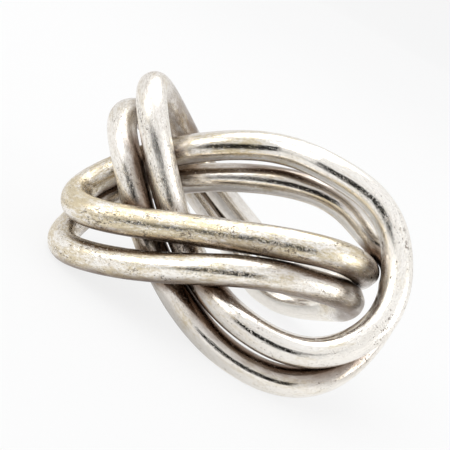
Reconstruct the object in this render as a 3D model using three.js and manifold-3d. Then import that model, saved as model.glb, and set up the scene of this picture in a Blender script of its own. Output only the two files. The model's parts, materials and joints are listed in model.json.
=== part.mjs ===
// Knotted puzzle ring: two closed loops of round silver wire, each bent into the same open trefoil knot.
// The lower loop stands on the floor and the upper loop lies against it, threaded through the same knot.
import * as THREE from "three";
import Module from "manifold-3d";

// Driving dimensions. Lengths are in millimetres; +Z is up and the front of the ring faces -Y.
const wireDiameter = 2.5;
const ringWidth = 12.3 * wireDiameter;
const ringDepth = 10.2 * wireDiameter;
const ringHeight = 7.65 * wireDiameter;
const wearDepth = 0.15; // how far the three resting points are rubbed flat

// Mesh fineness
const stepsAlongWire = 160;
const sidesOfWire = 14;

// Where each wire is led, in wire diameters from the ring's middle. The centreline is one smooth closed curve
// that passes near these guide points in turn.
const lowerLoopGuides = [
  ["left bend, tip", -5.5, -0.1, 0.55],
  ["left bend, front", -5.6, -2.2, 0.25],
  ["front bar, left", -2.2, -3.5, 1.8],
  ["front bar, right", 0.3, -4.3, 3.6],
  ["right hairpin, front", 4.5, -2.9, 4.0],
  ["right hairpin, middle", 4.9, -0.4, 2.5],
  ["right hairpin, back", 5.7, 2.1, 1.7],
  ["back strand, foot", 3.1, 3.4, -0.2],
  ["back strand, lower", 0.5, 4.2, 1.8],
  ["back strand, upper", -2.6, 5.0, 3.0],
  ["crown, back", -4.7, 2.9, 5.1],
  ["crown, front", -5.8, 0.5, 5.1],
  ["crossing strand, upper", -4.7, -1.5, 4.2],
  ["crossing strand, lower", -2.7, -1.5, 1.6],
  ["lower lobe, left", 0.5, -4.2, 0.25],
  ["lower lobe, bottom", 4.3, -4.8, 0.55],
  ["right side, lower", 5.9, -2.6, 3.2],
  ["right side, upper", 5.6, -1.3, 5.5],
  ["right shoulder", 4.4, -0.5, 5.3],
  ["rear strand, right", 2.2, -1.0, 6.6],
  ["rear strand, middle", -1.6, 0.2, 4.8],
  ["left bend, back", -4.5, 1.0, 2.3],
];
const upperLoopGuides = [
  ["left bend, tip", -6.0, -0.5, 1.8],
  ["left bend, front", -5.3, -2.8, 2.1],
  ["front bar, left", -2.0, -2.8, 3.3],
  ["front bar, right", 2.0, -4.0, 5.2],
  ["right hairpin, front", 4.3, -2.8, 5.0],
  ["right hairpin, back", 5.5, 1.6, 3.2],
  ["back strand, foot", 3.6, 2.9, 1.6],
  ["back strand, low bend", 2.6, 3.6, 1.9],
  ["back strand, middle", -1.1, 3.9, 3.4],
  ["back strand, upper", -2.9, 3.5, 4.7],
  ["crown, top", -5.4, 0.7, 7.0],
  ["crown, front", -4.7, -1.6, 6.0],
  ["crossing strand, upper", -2.7, -1.4, 3.4],
  ["crossing strand, lower", -0.7, -2.6, 1.9],
  ["lower lobe, left", 0.7, -4.6, 1.8],
  ["lower lobe, bottom", 3.7, -4.7, 1.6],
  ["right side, lower", 5.8, -3.9, 4.1],
  ["right side, upper", 4.4, -1.7, 7.0],
  ["rear strand, right", 1.5, -2.0, 7.3],
  ["rear strand, middle", -0.1, -0.5, 6.9],
  ["rear strand, left", -2.3, -0.8, 5.9],
  ["left bend, back", -4.5, 0.5, 3.7],
];

// The closed curve that a loop's guide points pull into shape: a uniform cubic B-spline.
class Centreline extends THREE.Curve {
  constructor(guidePoints) {
    super();
    this.guidePoints = guidePoints;
    this.arcLengthDivisions = 1000;
  }

  getPoint(t, target = new THREE.Vector3()) {
    const count = this.guidePoints.length;
    const place = (t % 1) * count;
    const first = Math.floor(place);
    const u = place - first;
    const pulls = [(1 - u) ** 3, 3 * u ** 3 - 6 * u ** 2 + 4, -3 * u ** 3 + 3 * u ** 2 + 3 * u + 1, u ** 3];
    target.set(0, 0, 0);
    pulls.forEach((pull, k) => target.addScaledVector(this.guidePoints[(first + k) % count], pull / 6));
    return target;
  }
}

// Fits both drawn centrelines together into the overall sizes, centred on X and Y.
const drawnBox = new THREE.Box3();
for (const guides of [lowerLoopGuides, upperLoopGuides]) {
  const drawn = new Centreline(guides.map(([, x, y, z]) => new THREE.Vector3(x, y, z)));
  drawnBox.union(new THREE.Box3().setFromPoints(drawn.getPoints(800)));
}
const drawnSize = drawnBox.getSize(new THREE.Vector3());
const drawnCentre = drawnBox.getCenter(new THREE.Vector3());
const scale = new THREE.Vector3(
  (ringWidth - wireDiameter) / drawnSize.x,
  (ringDepth - wireDiameter) / drawnSize.y,
  (ringHeight - wireDiameter + wearDepth) / drawnSize.z,
);

// A guide point in the finished ring, whose lowest wire is wearDepth below z = 0 until it is rubbed flat.
function placed([, x, y, z]) {
  return new THREE.Vector3(
    (x - drawnCentre.x) * scale.x,
    (y - drawnCentre.y) * scale.y,
    (z - drawnBox.min.z) * scale.z + wireDiameter / 2 - wearDepth,
  );
}

const { Manifold, Mesh } = await Module().then((wasm) => (wasm.setup(), wasm));

// A closed tube repeats its first ring, and each ring its first corner; faces are led back to the first copy.
function solidOfTube(tube) {
  const cornersPerRing = sidesOfWire + 1;
  const corners = tube.getAttribute("position");
  const positions = [];
  for (let ring = 0; ring < stepsAlongWire; ring++) {
    for (let side = 0; side < sidesOfWire; side++) {
      positions.push(...new THREE.Vector3().fromBufferAttribute(corners, ring * cornersPerRing + side));
    }
  }
  const firstCopy = (corner) => {
    const ring = Math.floor(corner / cornersPerRing) % stepsAlongWire;
    const side = (corner % cornersPerRing) % sidesOfWire;
    return ring * sidesOfWire + side;
  };
  const triVerts = Uint32Array.from(tube.index.array, firstCopy);
  return new Manifold(new Mesh({ numProp: 3, vertProperties: Float32Array.from(positions), triVerts }));
}

function geometryOf(solid) {
  const mesh = solid.getMesh();
  const geometry = new THREE.BufferGeometry();
  geometry.setAttribute("position", new THREE.BufferAttribute(Float32Array.from(mesh.vertProperties), 3));
  geometry.setIndex(new THREE.BufferAttribute(Uint32Array.from(mesh.triVerts), 1));
  geometry.computeVertexNormals();
  return geometry;
}

// One loop of wire, rubbed flat where it would pass below the floor.
function wireLoop(name, guides, colour) {
  const path = new Centreline(guides.map(placed));
  const tube = new THREE.TubeGeometry(path, stepsAlongWire, wireDiameter / 2, sidesOfWire, true);
  const solid = solidOfTube(tube).trimByPlane([0, 0, 1], 0);
  const material = new THREE.MeshStandardMaterial({ color: colour, metalness: 1, roughness: 0.3 });
  const mesh = new THREE.Mesh(geometryOf(solid), material);
  mesh.name = name;
  return mesh;
}

const ring = new THREE.Group();
ring.name = "knotted_puzzle_ring";
ring.add(wireLoop("lower_wire_loop", lowerLoopGuides, 0xd8d2c6));
ring.add(wireLoop("upper_wire_loop", upperLoopGuides, 0xdcd7cc));

export default ring;
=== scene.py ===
"""Knotted puzzle ring: two loops of worn silver wire on a pale studio floor."""

import json
import math

import bmesh
import bpy
import numpy as np
from mathutils import Matrix, Vector


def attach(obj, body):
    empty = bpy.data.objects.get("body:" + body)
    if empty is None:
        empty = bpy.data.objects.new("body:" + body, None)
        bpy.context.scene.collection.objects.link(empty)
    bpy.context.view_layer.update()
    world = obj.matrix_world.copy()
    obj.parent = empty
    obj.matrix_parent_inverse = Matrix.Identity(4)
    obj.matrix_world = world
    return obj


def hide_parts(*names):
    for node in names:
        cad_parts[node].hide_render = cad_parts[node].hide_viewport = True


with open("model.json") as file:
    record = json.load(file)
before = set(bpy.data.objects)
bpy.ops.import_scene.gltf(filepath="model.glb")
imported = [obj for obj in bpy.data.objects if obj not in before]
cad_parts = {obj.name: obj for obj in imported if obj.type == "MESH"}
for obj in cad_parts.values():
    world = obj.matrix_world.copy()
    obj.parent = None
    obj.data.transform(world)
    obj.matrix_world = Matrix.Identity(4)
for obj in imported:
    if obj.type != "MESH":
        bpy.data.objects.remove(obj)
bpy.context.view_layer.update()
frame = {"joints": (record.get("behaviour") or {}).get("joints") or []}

# Sizes are in millimetres until a mesh or the camera is made.
MM = 0.001
WIRE_RADIUS = 1.25
SHOWN_RADIUS = 1.305  # a little thicker than in the CAD model, because real wires touch
RING_SIZE = np.array([30.75, 25.5, 19.125])
WEAR_DEPTH = 0.15  # how far the resting points are rubbed flat
CLOSEST_GAP = 0.05  # left between the loops at every position of the hinge
MOST_SWELLING = 0.12  # how far a wire may stand out towards the other loop
SHADED_UNPOLISHED_SIDE = np.array([0.45, -0.10, -0.885])  # the lower side of each wire, painted browner as shade and as tarnish

# How finely each wire is meshed
STEPS_ALONG = 1100
SIDES = 44

# How uneven each wire is
THICKNESS_CHANGE = 0.005
THICKNESS_WAVES = (3, 5, 8, 13, 21, 34)  # whole waves in one loop, so that they close
MOST_FLATTENING = 0.035
FLATTENED_BENDS = (0.12, 0.35)  # one over the radius, where flattening begins and where it is full
DENTS = 110
DENT_HALF_LENGTHS = (0.3, 1.4)
DENT_HALF_WIDTHS = (0.2, 0.6)
DENT_DEPTHS = (0.004, 0.02)

# Working values
FAR_AWAY = 99.0  # stands for no other metal near by
POINTS_AT_A_TIME = 4000  # keeps the tables of distances small
BEND_STEPS = 6  # how many steps each way a bend is measured over
BOX_SAMPLES = 4000  # points on each guide curve that find the box round both
LENGTH_SAMPLES = 20000  # points on each curve that find its length
GAP_STRIDE = 3  # steps between the centreline points that a gap is measured to
SWELL_STRIDE = 2  # the same for the swelling, which has to be more exact
SAME_STRETCH = 0.04  # the share of a loop's length, each way, that is no neighbour of itself
SWELLING_REACH = 1.2  # gaps wider than this need no swelling
SWELLING_FADE = (0.15, 0.9)  # full swelling up to the first gap, none from the second
HINGE_SHARES = (0.0, 0.25, 0.5, 0.75, 1.0)  # the hinge's positions that are tried

# Each wire's guide points: place in wire diameters, then how tarnished, matte and pitted the metal is there,
# how much painted shade and grime gather beside the next wire, and how brown it is all round, from stain and
# painted shade. The places were
# computed by a curve fit and rounded to a tenth of a diameter, apart from the heights of the lower loop's
# lowest points, which were set one by one. The wear values were chosen one by one.
LOWER_GUIDES = [
    ("left bend, tip", -5.5, -0.1, 0.55, 0.45, 0.5, 0.9, 0.6, 0.15),
    ("left bend, front", -5.6, -2.2, 0.25, 0.6, 0.45, 1, 0.5, 0),
    ("front bar, left", -2.2, -3.5, 1.8, 0.48, 0.24, 0.95, 0.5, 0),
    ("front bar, right", 0.3, -4.3, 3.6, 0.34, 0.18, 0.7, 0.45, 0),
    ("right hairpin, front", 4.5, -2.9, 4.0, 0.45, 0.8, 0.8, 0.6, 0.05),
    ("right hairpin, middle", 4.9, -0.4, 2.5, 0.35, 0.9, 0.7, 0.6, 0),
    ("right hairpin, back", 5.7, 2.1, 1.7, 0, 0.25, 0.2, 0, 0),
    ("back strand, foot", 3.1, 3.4, -0.2, 0, 0.15, 0.05, 0, 0),
    ("back strand, lower", 0.5, 4.2, 1.8, 0, 0.15, 0.1, 0.2, 0),
    ("back strand, upper", -2.6, 5.0, 3.0, 0.4, 0.25, 0.3, 0.8, 0.5),
    ("crown, back", -4.7, 2.9, 5.1, 0.5, 0.3, 0.5, 1, 0.7),
    ("crown, front", -5.8, 0.5, 5.1, 0.2, 0.6, 0.8, 0.9, 0.05),
    ("crossing strand, upper", -4.7, -1.5, 4.2, 0.2, 0.6, 0.85, 1, 0),
    ("crossing strand, lower", -2.7, -1.5, 1.6, 0.4, 0.3, 0.8, 1, 0.35),
    ("lower lobe, left", 0.5, -4.2, 0.25, 0.2, 0.05, 0.5, 1, 0.1),
    ("lower lobe, bottom", 4.3, -4.8, 0.55, 0.1, 0.1, 0.6, 0.8, 0),
    ("right side, lower", 5.9, -2.6, 3.2, 0.15, 0.4, 1, 0.7, 0),
    ("right side, upper", 5.6, -1.3, 5.5, 0.12, 0.3, 1, 0.9, 0),
    ("right shoulder", 4.4, -0.5, 5.3, 0.2, 0.1, 0.6, 1, 0.1),
    ("rear strand, right", 2.2, -1.0, 6.6, 0.22, 0.08, 0.5, 0.8, 0.04),
    ("rear strand, middle", -1.6, 0.2, 4.8, 0.3, 0.12, 0.5, 0.8, 0.08),
    ("left bend, back", -4.5, 1.0, 2.3, 0.5, 0.35, 0.6, 0.8, 0.4),
]
UPPER_GUIDES = [
    ("left bend, tip", -6.0, -0.5, 1.8, 0.6, 0.55, 0.9, 0.5, 0.1),
    ("left bend, front", -5.3, -2.8, 2.1, 0.6, 0.5, 1, 0.5, 0.05),
    ("front bar, left", -2.0, -2.8, 3.3, 0.7, 0.4, 1, 0.6, 0.05),
    ("front bar, right", 2.0, -4.0, 5.2, 0.5, 0.35, 1, 0.6, 0.05),
    ("right hairpin, front", 4.3, -2.8, 5.0, 0.5, 0.8, 1, 0.5, 0.05),
    ("right hairpin, back", 5.5, 1.6, 3.2, 0, 0.25, 0.2, 0, 0),
    ("back strand, foot", 3.6, 2.9, 1.6, 0, 0.15, 0.05, 0, 0),
    ("back strand, low bend", 2.6, 3.6, 1.9, 0, 0.15, 0.05, 0.1, 0),
    ("back strand, middle", -1.1, 3.9, 3.4, 0.2, 0.25, 0.3, 0.8, 0.25),
    ("back strand, upper", -2.9, 3.5, 4.7, 0.5, 0.35, 0.5, 1, 0.85),
    ("crown, top", -5.4, 0.7, 7.0, 0.2, 0.8, 0.8, 0.4, 0.15),
    ("crown, front", -4.7, -1.6, 6.0, 0.08, 0.6, 0.85, 0.3, 0),
    ("crossing strand, upper", -2.7, -1.4, 3.4, 0.12, 0.6, 0.95, 0.45, 0),
    ("crossing strand, lower", -0.7, -2.6, 1.9, 0.35, 0.3, 1, 0.8, 0.3),
    ("lower lobe, left", 0.7, -4.6, 1.8, 0.2, 0.05, 0.6, 0.9, 0.2),
    ("lower lobe, bottom", 3.7, -4.7, 1.6, 0.08, 0.08, 0.6, 0.7, 0),
    ("right side, lower", 5.8, -3.9, 4.1, 0.1, 0.4, 1.15, 0.5, 0),
    ("right side, upper", 4.4, -1.7, 7.0, 0.1, 0.35, 1, 0.7, 0),
    ("rear strand, right", 1.5, -2.0, 7.3, 0.15, 0.12, 0.5, 0.9, 0.05),
    ("rear strand, middle", -0.1, -0.5, 6.9, 0.2, 0.1, 0.4, 0.9, 0.1),
    ("rear strand, left", -2.3, -0.8, 5.9, 0.35, 0.2, 0.5, 0.8, 0.2),
    ("left bend, back", -4.5, 0.5, 3.7, 0.5, 0.35, 0.7, 0.6, 0.3),
]


def places(guides):
    return [guide[1:4] for guide in guides]


def wear(guides):
    return [guide[4:9] for guide in guides]


def spline(values, t):
    """A closed uniform cubic B-spline through guide values, at parameters t from 0 to 1."""
    values = np.asarray(values, float)
    count = len(values)
    place = (t % 1) * count
    first = np.floor(place).astype(int)
    u = (place - first)[:, None]
    pulls = [(1 - u) ** 3, 3 * u**3 - 6 * u**2 + 4, -3 * u**3 + 3 * u**2 + 3 * u + 1, u**3]
    return sum(pull * values[(first + k) % count] for k, pull in enumerate(pulls)) / 6


# The guide curves are stretched and moved so that the bare wires fill RING_SIZE, as in the CAD model.
dense = np.linspace(0, 1, BOX_SAMPLES, endpoint=False)
curves = np.vstack([spline(places(guides), dense) for guides in (LOWER_GUIDES, UPPER_GUIDES)])
curves_low, curves_high = curves.min(0), curves.max(0)
stretch = (RING_SIZE - 2 * WIRE_RADIUS + np.array([0, 0, WEAR_DEPTH])) / (curves_high - curves_low)
guide_origin = (curves_low + curves_high) / 2
guide_origin[2] = curves_low[2] - (WIRE_RADIUS - WEAR_DEPTH) / stretch[2]


def placed(points):
    """Places in wire diameters, as the guides have them, turned into millimetres in the CAD frame."""
    return (np.asarray(points, float) - guide_origin) * stretch


def even_parameters(guides):
    """Parameters that divide the wire into STEPS_ALONG equal lengths, and its whole length."""
    t = np.linspace(0, 1, LENGTH_SAMPLES + 1)
    line = placed(spline(places(guides), t))
    lengths = np.concatenate([[0], np.cumsum(np.linalg.norm(np.diff(line, axis=0), axis=1))])
    wanted = np.arange(STEPS_ALONG) / STEPS_ALONG * lengths[-1]
    return np.interp(wanted, lengths, t), lengths[-1]


def frames_along(line):
    """Two directions across the wire at each step, turning as little as possible and closing smoothly."""
    ahead = np.roll(line, -1, 0) - np.roll(line, 1, 0)
    ahead /= np.linalg.norm(ahead, axis=1)[:, None]
    side = np.cross(ahead[0], [0.0, 0.0, 1.0])
    side /= np.linalg.norm(side)
    sides = [side]
    for step in range(1, len(line) + 1):
        direction = ahead[step % len(line)]
        side = side - direction * side.dot(direction)
        side /= np.linalg.norm(side)
        sides.append(side)
    twist = math.atan2(np.cross(sides[-1], sides[0]).dot(ahead[0]), sides[-1].dot(sides[0]))
    turned = []
    for step in range(len(line)):
        angle = twist * step / len(line)
        a = sides[step]
        b = np.cross(ahead[step], a)
        turned.append(a * math.cos(angle) + b * math.sin(angle))
    first = np.array(turned)
    return ahead, first, np.cross(ahead, first)


def smooth_step(low, high, value):
    share = np.clip((value - low) / (high - low), 0, 1)
    return share * share * (3 - 2 * share)


def nearest_other_metal(points, own_line, own_index, other_line):
    """How far each surface point is from the other loop and from the far strands of its own loop."""
    own_count = len(own_line)
    gap = np.full(len(points), FAR_AWAY)
    same_stretch = int(own_count * SAME_STRETCH)
    for start in range(0, len(points), POINTS_AT_A_TIME):
        part = slice(start, start + POINTS_AT_A_TIME)
        other = np.sqrt(((points[part, None] - other_line[None, ::GAP_STRIDE]) ** 2).sum(2)).min(1)
        own = np.sqrt(((points[part, None] - own_line[None, ::GAP_STRIDE]) ** 2).sum(2))
        apart = np.abs(own_index[part, None] - np.arange(0, own_count, GAP_STRIDE)[None])
        apart = np.minimum(apart, own_count - apart)
        own[apart < same_stretch] = FAR_AWAY
        gap[part] = np.minimum(other, own.min(1)) - SHOWN_RADIUS
    return gap


def rocked(points, degrees):
    """Points turned with the upper loop about its hinge."""
    hinge = frame["joints"][0]
    turn = Matrix.Rotation(math.radians(degrees), 3, Vector(hinge["axis"]).normalized())
    pivot = np.array(hinge["pos_m"]) / MM
    return (points - pivot) @ np.array(turn).T + pivot


def swell_towards(points, other_line, gap, turning):
    """How much each surface point stands out towards the other loop, because real wires touch.
    It leaves a gap at every position of the hinge. turning is 1 for the loop that rocks, and -1 for
    the other one."""
    near = np.where(gap < SWELLING_REACH)[0]
    tightest = gap[near].copy()
    low, high = frame["joints"][0]["range_deg"]
    for share in HINGE_SHARES:
        moved = rocked(points[near], turning * (low + (high - low) * share))
        for start in range(0, len(near), POINTS_AT_A_TIME):
            part = slice(start, start + POINTS_AT_A_TIME)
            away = np.sqrt(((moved[part, None] - other_line[None, ::SWELL_STRIDE]) ** 2).sum(2)).min(1)
            tightest[part] = np.minimum(tightest[part], away - SHOWN_RADIUS)
    least = np.full(len(points), FAR_AWAY)
    least[near] = tightest
    room = np.clip((least - CLOSEST_GAP) / 2, 0.0, MOST_SWELLING)
    return room * (1 - smooth_step(*SWELLING_FADE, gap))


def uneven_radius(rng, length, bend_size, bend_angle, turn, phase):
    """The radius at each step and side: slow waves of thickness, flattened bends and small dents."""
    thickness = np.zeros(STEPS_ALONG)
    for waves in THICKNESS_WAVES:
        thickness += rng.uniform(0.1, 0.5) * np.sin(waves * phase + rng.uniform(0, 6.28)) / math.sqrt(waves)
    radius = SHOWN_RADIUS * (1 + THICKNESS_CHANGE * thickness)[:, None] * np.ones(SIDES)[None]
    flattening = MOST_FLATTENING * smooth_step(*FLATTENED_BENDS, bend_size)
    radius = radius * (1 - flattening[:, None] * np.cos(2 * (turn[None] - bend_angle[:, None])))

    for _ in range(DENTS):
        at, side = rng.uniform(0, length), rng.uniform(0, 2 * math.pi)
        half_length, half_width = rng.uniform(*DENT_HALF_LENGTHS), rng.uniform(*DENT_HALF_WIDTHS)
        along_gap = np.abs(np.arange(STEPS_ALONG) / STEPS_ALONG * length - at)
        along_gap = np.minimum(along_gap, length - along_gap)
        side_gap = np.angle(np.exp(1j * (turn - side))) * WIRE_RADIUS
        dent_along = np.exp(-((along_gap / half_length) ** 2))[:, None]
        dent_across = np.exp(-((side_gap / half_width) ** 2))[None]
        radius -= rng.uniform(*DENT_DEPTHS) * (dent_along * dent_across)
    return radius


def wire_faces():
    """Four-sided faces that join each ring of corners to the next, round to the first."""
    faces = []
    for step in range(STEPS_ALONG):
        ring, next_ring = step * SIDES, (step + 1) % STEPS_ALONG * SIDES
        for side in range(SIDES):
            beside = (side + 1) % SIDES
            faces.append((ring + side, ring + beside, next_ring + beside, next_ring + side))
    return faces


def give_attribute(mesh, label, values):
    """Writes a number, or a row of three, on each corner for the material to read."""
    kind, key = ("FLOAT", "value") if values.ndim == 1 else ("FLOAT_VECTOR", "vector")
    made = mesh.attributes.new(label, kind, "POINT")
    made.data.foreach_set(key, values.astype(np.float32).ravel())


def wire_mesh(name, guides, other_guides, seed, turning):
    """A closed wire with small dents, slow changes of thickness and bends that are a little flattened."""
    rng = np.random.default_rng(seed)
    t, length = even_parameters(guides)
    other_t, _ = even_parameters(other_guides)
    line = placed(spline(places(guides), t))
    other_line = placed(spline(places(other_guides), other_t))
    ahead, across, upward = frames_along(line)
    turn = np.arange(SIDES) / SIDES * 2 * math.pi
    phase = np.arange(STEPS_ALONG) / STEPS_ALONG * 2 * math.pi

    turned = np.roll(ahead, -BEND_STEPS, 0) - np.roll(ahead, BEND_STEPS, 0)
    bend = turned / (2 * BEND_STEPS * length / STEPS_ALONG)
    bend_angle = np.arctan2((bend * upward).sum(1), (bend * across).sum(1))
    radius = uneven_radius(rng, length, np.linalg.norm(bend, axis=1), bend_angle, turn, phase)

    spread = across[:, None] * np.cos(turn)[None, :, None] + upward[:, None] * np.sin(turn)[None, :, None]
    points = (line[:, None] + spread * radius[:, :, None]).reshape(-1, 3)
    spread = spread.reshape(-1, 3)
    gap = nearest_other_metal(points, line, np.repeat(np.arange(STEPS_ALONG), SIDES), other_line)
    points += spread * swell_towards(points, other_line, gap, turning)[:, None]
    points[:, 2] = np.maximum(points[:, 2], 0.0)

    faces = wire_faces()
    mesh = bpy.data.meshes.new(name)
    mesh.from_pydata((points * MM).tolist(), [], faces)
    mesh.polygons.foreach_set("use_smooth", [True] * len(faces))

    # The straightened wire, closed on itself in a fourth direction, is where the material's noise is read.
    torus = length / (2 * math.pi)
    around_x = np.tile(np.cos(turn), STEPS_ALONG) * WIRE_RADIUS
    around_y = np.tile(np.sin(turn), STEPS_ALONG) * WIRE_RADIUS
    along = np.repeat(np.cos(phase), SIDES) * torus
    give_attribute(mesh, "wire_place", np.stack([around_x, around_y, along], 1))
    give_attribute(mesh, "wire_round", np.repeat(np.sin(phase), SIDES) * torus)
    give_attribute(mesh, "metal_gap", gap)
    for label, values in zip(("tarnish", "matte", "pitted", "shade_and_grime", "shade_and_stain"), spline(wear(guides), t).T):
        give_attribute(mesh, label, np.repeat(values, SIDES))
    give_attribute(mesh, "shaded_unpolished", (spread * SHADED_UNPOLISHED_SIDE).sum(1))
    return mesh


class Shader:
    """Short ways to add nodes to one material."""

    def __init__(self, name):
        self.material = bpy.data.materials.new(name)
        self.material.use_nodes = True
        self.tree = self.material.node_tree
        self.tree.nodes.clear()

    def feed(self, socket, value):
        """Links a socket to another node's output, or sets its constant."""
        if isinstance(value, bpy.types.NodeSocket):
            self.tree.links.new(value, socket)
        else:
            socket.default_value = value

    def node(self, kind, settings=None, inputs=None):
        made = self.tree.nodes.new(kind)
        for key, value in (settings or {}).items():
            setattr(made, key, value)
        for key, value in (inputs or {}).items():
            self.feed(made.inputs[key], value)
        return made

    def value(self, name, output="Fac"):
        return self.node("ShaderNodeAttribute", {"attribute_name": name}).outputs[output]

    def math(self, operation, a, b=0.0, clamp=False):
        settings = {"operation": operation, "use_clamp": clamp}
        return self.node("ShaderNodeMath", settings, {0: a, 1: b}).outputs[0]

    def plus(self, a, b):
        return self.math("ADD", a, b)

    def minus(self, a, b):
        return self.math("SUBTRACT", a, b)

    def times(self, a, b, clamp=False):
        return self.math("MULTIPLY", a, b, clamp)

    def larger(self, a, b, clamp=False):
        return self.math("MAXIMUM", a, b, clamp)

    def about_zero(self, noise, size):
        """Noise moved from about 0.5 to about zero, and scaled."""
        return self.times(self.minus(noise, 0.5), size)

    def span(self, value, low, high, to_low=0.0, to_high=1.0):
        settings = {"interpolation_type": "SMOOTHSTEP"}
        inputs = {"Value": value, "From Min": low, "From Max": high, "To Min": to_low, "To Max": to_high}
        return self.node("ShaderNodeMapRange", settings, inputs).outputs["Result"]

    def mix(self, share, a, b):
        colour_sockets = {0: share, 6: a, 7: b}
        return self.node("ShaderNodeMix", {"data_type": "RGBA"}, colour_sockets).outputs[2]

    def noise(self, scale, detail=3.0, along=1.0, across=1.0, roughness=0.55, shift=0.0):
        """Noise in the straightened wire. along and across stretch it that way."""
        stretching = (1 / across, 1 / across, 1 / along)
        place = self.value("wire_place", "Vector")
        scaled = self.node("ShaderNodeVectorMath", {"operation": "MULTIPLY"}, {0: place, 1: stretching})
        moved = self.node(
            "ShaderNodeVectorMath", {"operation": "ADD"}, {0: scaled.outputs[0], 1: (shift, shift, shift)}
        )
        inputs = {
            "Vector": moved.outputs[0],
            "W": self.math("DIVIDE", self.value("wire_round"), along),
            "Scale": scale,
            "Detail": detail,
            "Roughness": roughness,
        }
        return self.node("ShaderNodeTexNoise", {"noise_dimensions": "4D"}, inputs).outputs["Fac"]

    def surface(self, made):
        """Sends a shader node to the material's surface."""
        self.node("ShaderNodeOutputMaterial", None, {"Surface": made.outputs[0]})
        return self.material


def rgba(red, green, blue):
    return (red, green, blue, 1.0)


CLEAN_SILVER = rgba(1.0, 0.97, 0.92)
WARM_SILVER = rgba(0.95, 0.91, 0.84)
SCUFFED_SILVER = rgba(0.56, 0.50, 0.43)
BROWN_SHADE_AND_GRIME = rgba(0.16, 0.10, 0.065)
PIT_FILL = rgba(0.16, 0.12, 0.09)
BLACK_CREVICE_SHADE = rgba(0.055, 0.036, 0.025)


def shade_and_grime(s, mottle):
    """Painted shade: black in the crevice where the wires almost touch, and brown beside it, on the lower
    side and along stained stretches, where it is partly grime, tarnish and stain as well.
    """
    uneven = s.about_zero(mottle, 0.9)
    rough_gap = s.plus(s.value("metal_gap"), uneven)
    # Painted shade: black where the wires almost touch.
    crevice = s.span(rough_gap, 0.15, 0.55, 1.0, 0.0)
    # Painted shade, partly grime: brown beside the next wire, scaled stretch by stretch.
    beside = s.times(s.span(rough_gap, 0.3, 2.0, 1.0, 0.0), s.value("shade_and_grime"))
    # Painted shade, partly tarnish: the lower side of the wire is browner where it is tarnished.
    under_side = s.span(s.plus(s.value("shaded_unpolished"), s.times(uneven, 0.8)), 0.1, 0.9)
    under_side = s.times(under_side, s.span(s.value("tarnish"), 0.08, 0.5))
    # Partly stain, partly painted shade: stretches that sit in shade behind other strands are browner all
    # round.
    shade_and_stain_share = s.times(s.value("shade_and_stain"), s.span(mottle, 0.3, 0.6, 0.6, 1.1))
    brown = s.larger(s.larger(beside, s.times(under_side, 0.8)), shade_and_stain_share, clamp=True)
    return crevice, brown


def yellow_film(s, clouds, grain, streaks):
    """How much yellow-brown film covers the silver, in clouds, streaks and fine speckle."""
    tarnish = s.value("tarnish")
    film = s.plus(s.plus(tarnish, s.about_zero(clouds, 1.2)), s.about_zero(streaks, 2.2))
    speckle = s.times(s.minus(grain, 0.5), s.plus(s.times(tarnish, 3.6), 0.3))
    return s.span(s.plus(film, speckle), 0.12, 0.95)


def pits(s, specks, fine_specks, clusters):
    """Small dark pits, gathered in clusters."""
    gathered = s.times(s.value("pitted"), s.span(clusters, 0.35, 0.75, 0.45, 1.25))
    pit = s.times(s.minus(specks, s.minus(0.72, s.times(gathered, 0.165))), 18.0, clamp=True)
    fine_pit = s.times(s.minus(fine_specks, s.minus(0.68, s.times(gathered, 0.14))), 8.0, clamp=True)
    return s.larger(pit, s.times(fine_pit, 0.8))


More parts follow.
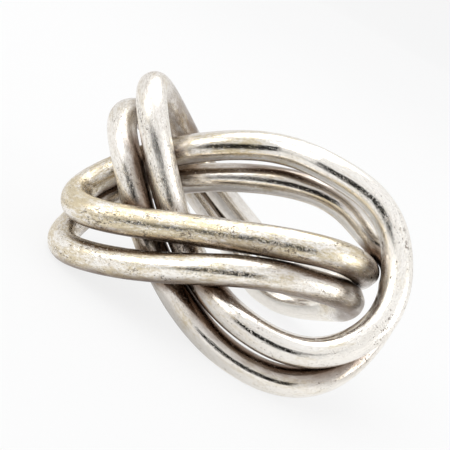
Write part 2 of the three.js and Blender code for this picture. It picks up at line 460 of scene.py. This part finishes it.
def worn_silver(name, shift, warmth):
    """Polished silver with painted shade in the crevices, black where the wires almost touch and brown
    beside them that is partly grime, and with dark pits, fine lines and duller patches.
    shift moves the noise, so that no two wires are alike, and warmth tints the film."""
    s = Shader(name)
    matte = s.value("matte")
    clouds = s.noise(0.35, 4.0, shift=shift)
    mottle = s.noise(1.6, 5.0, along=2.6, across=0.9, shift=shift + 11)
    grain = s.noise(5.0, 4.0, along=2.0, across=0.9, roughness=0.65, shift=shift + 23)
    drawn_lines = s.noise(3.0, 4.0, along=10.0, across=0.6, roughness=0.7, shift=shift + 31)
    specks = s.noise(4.6, 4.0, along=1.4, roughness=0.68, shift=shift + 41)
    fine_specks = s.noise(8.5, 2.0, roughness=0.6, shift=shift + 53)
    clusters = s.noise(0.9, 3.0, along=2.0, shift=shift + 61)
    streaks = s.noise(1.3, 5.0, along=5.0, roughness=0.65, shift=shift + 71)

    crevice, brown = shade_and_grime(s, mottle)
    film = yellow_film(s, clouds, grain, streaks)
    pitting = pits(s, specks, fine_specks, clusters)
    scuffed = s.times(s.span(grain, 0.42, 0.62), s.plus(s.times(matte, 0.55), 0.02))

    colour = s.mix(clouds, CLEAN_SILVER, WARM_SILVER)
    colour = s.mix(s.times(film, 0.85), colour, rgba(0.70 * warmth, 0.585 * warmth, 0.37))
    colour = s.mix(scuffed, colour, SCUFFED_SILVER)
    # Brown painted shade, partly grime, tarnish and stain.
    colour = s.mix(s.times(s.times(brown, 1.3, clamp=True), 0.95), colour, BROWN_SHADE_AND_GRIME)
    colour = s.mix(s.times(pitting, 0.78), colour, PIT_FILL)
    # Black painted shade in the crevices.
    colour = s.mix(s.times(crevice, 0.93), colour, BLACK_CREVICE_SHADE)

    roughness = s.plus(s.times(matte, 0.30), s.times(film, 0.06))
    roughness = s.plus(s.plus(roughness, s.about_zero(drawn_lines, 0.40)), s.about_zero(mottle, 0.20))
    roughness = s.larger(s.plus(roughness, 0.08), s.times(s.larger(crevice, pitting), 0.6))
    roughness = s.larger(roughness, 0.045)

    # Heights of the surface, in millimetres.
    height = s.plus(s.about_zero(drawn_lines, 0.014), s.about_zero(mottle, 0.009))
    grain_size = s.plus(s.times(matte, 0.034), 0.0005)
    height = s.plus(height, s.times(s.minus(grain, 0.5), grain_size))
    height = s.minus(height, s.times(pitting, 0.018))
    bump = s.node("ShaderNodeBump", None, {"Strength": 1.0, "Distance": MM, "Height": height})

    finish = {"Base Color": colour, "Metallic": 1.0, "Roughness": roughness, "Normal": bump.outputs[0]}
    return s.surface(s.node("ShaderNodeBsdfPrincipled", None, finish))


def loop_of_wire(name, guides, other_guides, seed, turning, body, node, material):
    """One visible wire loop, riding on its body in place of its CAD node."""
    mesh = wire_mesh(name, guides, other_guides, seed, turning)
    mesh.materials.append(material)
    made = bpy.data.objects.new(name, mesh)
    bpy.context.scene.collection.objects.link(made)
    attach(made, body)
    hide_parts(node)


loop_of_wire(
    "lower_loop_worn_silver",
    LOWER_GUIDES,
    UPPER_GUIDES,
    seed=11,
    turning=-1,
    body="lower_loop",
    node="lower_wire_loop",
    material=worn_silver("worn_silver_lower", shift=0.0, warmth=1.0),
)
loop_of_wire(
    "upper_loop_worn_silver",
    UPPER_GUIDES,
    LOWER_GUIDES,
    seed=12,
    turning=1,
    body="upper_loop",
    node="upper_wire_loop",
    material=worn_silver("worn_silver_upper", shift=70.0, warmth=1.05),
)


def stage_mesh(name, mesh, material, only_in_reflections=False):
    """Adds a piece of the studio, which may be one that only shows in the metal."""
    mesh.materials.append(material)
    made = bpy.data.objects.new(name, mesh)
    if only_in_reflections:
        made.visible_camera = False
        made.visible_diffuse = False
        made.visible_shadow = False
    bpy.context.scene.collection.objects.link(made)
    return made


def pale_paper(glow):
    """Matt grey paper with an even glow that makes it look white, as in a light tent."""
    s = Shader("pale_paper")
    finish = {
        "Base Color": rgba(0.12, 0.12, 0.12),
        "Roughness": 0.9,
        "Specular IOR Level": 0.1,
        "Emission Color": rgba(1.0, 1.0, 1.0),
        "Emission Strength": glow,
    }
    return s.surface(s.node("ShaderNodeBsdfPrincipled", None, finish))


def studio_sweep(floor_radius=1.0, curve=0.3, height=1.2, curve_steps=12, spokes=96):
    """A round floor that curves up into a wall all round, so that no edge shows from any side."""
    profile = [(0.0, 0.0), (floor_radius * 0.5, 0.0), (floor_radius, 0.0)]
    for step in range(1, curve_steps + 1):
        angle = step / curve_steps * math.pi / 2
        profile.append((floor_radius + curve * math.sin(angle), curve * (1 - math.cos(angle))))
    profile.append((floor_radius + curve, height))
    made = bmesh.new()
    points = [made.verts.new((r, 0.0, z)) for r, z in profile]
    edges = [made.edges.new(pair) for pair in zip(points, points[1:])]
    bmesh.ops.spin(
        made,
        geom=points + edges,
        cent=(0, 0, 0),
        axis=(0, 0, 1),
        angle=2 * math.pi,
        steps=spokes,
        use_merge=True,
    )
    bmesh.ops.remove_doubles(made, verts=made.verts, dist=1e-6)
    mesh = bpy.data.meshes.new("studio_sweep")
    made.to_mesh(mesh)
    made.free()
    mesh.polygons.foreach_set("use_smooth", [True] * len(mesh.polygons))
    stage_mesh("studio_sweep", mesh, pale_paper(glow=0.80))


def soft_box(name, place, aim, width, height, brightness):
    """A rectangular soft light with that brightness, pointing at aim."""
    light = bpy.data.lights.new(name, "AREA")
    light.shape = "RECTANGLE"
    light.size, light.size_y = width, height
    light.energy = brightness * math.pi * width * height
    lamp = bpy.data.objects.new(name, light)
    lamp.location = place
    lamp.rotation_euler = (Vector(aim) - Vector(place)).to_track_quat("-Z", "Y").to_euler()
    bpy.context.scene.collection.objects.link(lamp)


def dark_card(name, corners):
    """A black card that only shows as a dark reflection in the metal."""
    s = Shader(name)
    black = s.node("ShaderNodeBsdfDiffuse", None, {"Color": rgba(0.012, 0.011, 0.01)})
    mesh = bpy.data.meshes.new(name)
    mesh.from_pydata(corners, [], [(0, 1, 2, 3)])
    stage_mesh(name, mesh, s.surface(black), only_in_reflections=True)


def upright_card(name, left, right, y, low, high):
    dark_card(name, [(left, y, low), (right, y, low), (right, y, high), (left, y, high)])


def flat_card(name, left, right, near, far, z):
    dark_card(name, [(left, near, z), (right, near, z), (right, far, z), (left, far, z)])


def under_shade():
    """The dim light under the ring, seen only in the metal: a dark round patch with a soft edge."""
    s = Shader("under_shade")
    place = s.node("ShaderNodeTexCoord").outputs["Object"]
    distance = s.node("ShaderNodeVectorMath", {"operation": "LENGTH"}, {0: place}).outputs["Value"]
    clear = s.span(distance, 0.003, 0.015, 0.55, 1.0)
    black = s.node("ShaderNodeBsdfDiffuse", None, {"Color": rgba(0.02, 0.015, 0.01)})
    nothing = s.node("ShaderNodeBsdfTransparent")
    mixed = s.node("ShaderNodeMixShader", None, {0: clear, 1: black.outputs[0], 2: nothing.outputs[0]})
    corners, radius = 48, 0.02
    turns = [2 * math.pi * corner / corners for corner in range(corners)]
    mesh = bpy.data.meshes.new("under_shade")
    circle = [(-radius * math.sin(turn), radius * math.cos(turn), 0.0) for turn in turns]
    mesh.from_pydata(circle, [], [tuple(range(corners))])
    patch = stage_mesh("under_shade", mesh, s.surface(mixed), only_in_reflections=True)
    patch.location = (0.001, -0.002, 0.0002)


studio_sweep()
upright_card("front_dark_card", left=-0.13, right=0.05, y=-0.16, low=0.0, high=0.065)
flat_card("low_dark_card", left=-0.06, right=0.03, near=-0.16, far=-0.05, z=0.001)
under_shade()
soft_box("top_light", (-0.05, 0.05, 0.26), (0, 0, 0), 0.30, 0.20, brightness=1.7)
soft_box("left_light", (-0.24, -0.12, 0.16), (0, 0, 0.01), 0.16, 0.16, brightness=2.0)
soft_box("right_light", (0.24, -0.10, 0.10), (0, 0, 0.01), 0.12, 0.16, brightness=2.2)

world = bpy.data.worlds.new("studio")
bpy.context.scene.world = world
world.use_nodes = True
world.node_tree.nodes["Background"].inputs["Color"].default_value = rgba(0.97, 0.98, 1.0)
world.node_tree.nodes["Background"].inputs["Strength"].default_value = 1.0

# The camera looks a little down, from in front. Its right side is tilted up, so the ring looks turned
# clockwise. Its place, in wire diameters as for the guides, and its directions come from the same curve fit.
CAMERA_PLACE = np.array([-5.412, -32.104, 12.638])
LOOK = Vector((0.1471, 0.9495, -0.2770))
RIGHT = Vector((0.8832, 0.0, 0.4691))
look = LOOK.normalized()
right = (RIGHT - look * RIGHT.dot(look)).normalized()
up = right.cross(look)
camera = bpy.data.objects.new("camera", bpy.data.cameras.new("camera"))
camera.data.sensor_width = 36.0
camera.data.lens = 74.4
camera.data.clip_start = 0.005
camera.data.clip_end = 10.0
axes = Matrix((right, up, -look)).transposed().to_4x4()
camera.matrix_world = Matrix.Translation(Vector(placed(CAMERA_PLACE) * MM)) @ axes
bpy.context.scene.collection.objects.link(camera)
bpy.context.scene.camera = camera
bpy.context.scene.view_settings.view_transform = "Standard"
